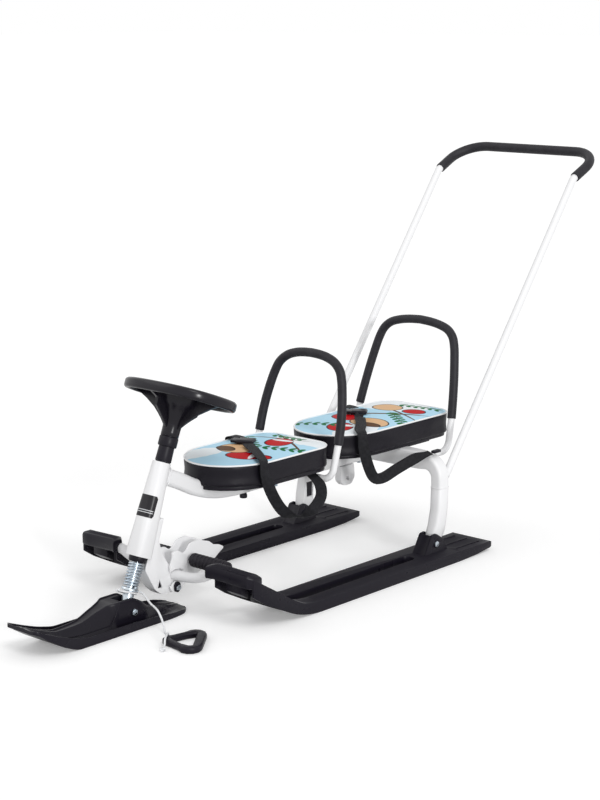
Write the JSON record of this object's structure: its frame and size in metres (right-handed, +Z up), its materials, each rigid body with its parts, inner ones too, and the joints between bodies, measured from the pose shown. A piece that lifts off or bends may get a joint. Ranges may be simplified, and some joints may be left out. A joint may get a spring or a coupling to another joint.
{
  "type": "sled stroller",
  "caption": "Steerable snow sled with tandem cushioned seats, a sprung front ski, side skis, a foot brake and a tall push bar.",
  "frame": {"origin": "on the floor below the middle of the sled's overall length, width and height", "axes": "+Z up, +X to the rider's left, the front of the sled faces -Y"},
  "size_m": [0.51, 1.7089, 0.9026],
  "materials": {
    "white_paint": "gloss powder coat",
    "black_plastic": "satin moulded",
    "black_steel": "black paint",
    "black_foam": "matt closed-cell foam",
    "vinyl": "satin vinyl",
    "webbing": "woven webbing",
    "black_rubber": "matt",
    "zinc": "bright zinc",
    "steel": "plain",
    "white_cord": "braided cord"
  },
  "bodies": {
    "chassis": {"head_tube": "white_paint", "column_bush_lower": "black_plastic", "column_bush_upper": "black_plastic", "backbone": "white_paint", "front_bracket": "white_paint", "front_traverse": "white_paint", "rear_arch": "white_paint", "rear_leg_left": "white_paint", "rear_leg_right": "white_paint", "leg_liner_left": "black_plastic", "leg_liner_right": "black_plastic", "side_ski_left": "black_plastic", "side_ski_right": "black_plastic", "ski_bolt_left": "steel", "ski_bolt_right": "steel", "rear_lug": "white_paint", "pusher_tube": "white_paint", "handle_foam": "black_foam", "rear_hoop": "white_paint", "rear_hoop_foam": "black_foam", "front_hoop": "white_paint", "front_hoop_foam": "black_foam", "seat_pad_front": "vinyl", "seat_pad_rear": "vinyl", "seat_board_front": "black_plastic", "seat_board_rear": "black_plastic", "rear_seat_bracket": "black_steel", "rear_seat_rail": "black_steel", "seat_knob": "black_plastic", "seat_bolt_front": "steel", "seat_bolt_rear": "steel", "belt_front_near": "webbing", "belt_front_far": "webbing", "belt_rear_near": "webbing", "belt_rear_far": "webbing", "belt_clip": "black_plastic", "buckle_front": "black_plastic", "buckle_rear": "black_plastic", "brake_pivot_pin": "steel", "brake_spring": "steel", "tow_cord": "white_cord", "tow_handle": "black_plastic"},
    "steering_column": {"steering_wheel": "black_plastic", "column_cover": "black_plastic", "column_tube": "steel", "spring_cap": "black_plastic"},
    "strut": {"strut_rod": "zinc", "strut_collar": "zinc", "strut_foot": "zinc", "strut_spring": "zinc", "front_ski_bolt": "steel", "cord_loop": "white_cord"},
    "front_ski": {"front_ski": "black_plastic"},
    "brake_lever": {"brake_plate_left": "white_paint", "brake_plate_right": "white_paint", "pedal_grip_left": "black_rubber", "pedal_grip_right": "black_rubber", "pedal_rod": "steel", "brake_bush_left": "black_plastic", "brake_bush_right": "black_plastic"}
  },
  "joints": [
    {"name": "steering", "type": "hinge", "parent": "chassis", "child": "steering_column", "pos_m": [0, -0.5774, 0.03], "axis": [0, 0.3714, 0.9285], "range_deg": [-30, 30]},
    {"name": "suspension", "type": "slide", "parent": "steering_column", "child": "strut", "axis": [0, 0.3714, 0.9285], "range_m": [0, 0.01], "stiffness_N_per_m": 9000, "springref_m": -0.01, "deforming": ["strut_spring"]},
    {"name": "ski_pitch", "type": "hinge", "parent": "strut", "child": "front_ski", "pos_m": [0, -0.5774, 0.03], "axis": [-1, 0, 0], "range_deg": [-4, 15]},
    {"name": "brake", "type": "hinge", "parent": "chassis", "child": "brake_lever", "pos_m": [0, -0.4494, 0.052], "axis": [-1, 0, 0], "range_deg": [0, 38], "stiffness_Nm_per_rad": 1.2, "springref_deg": -28.65}
  ]
}
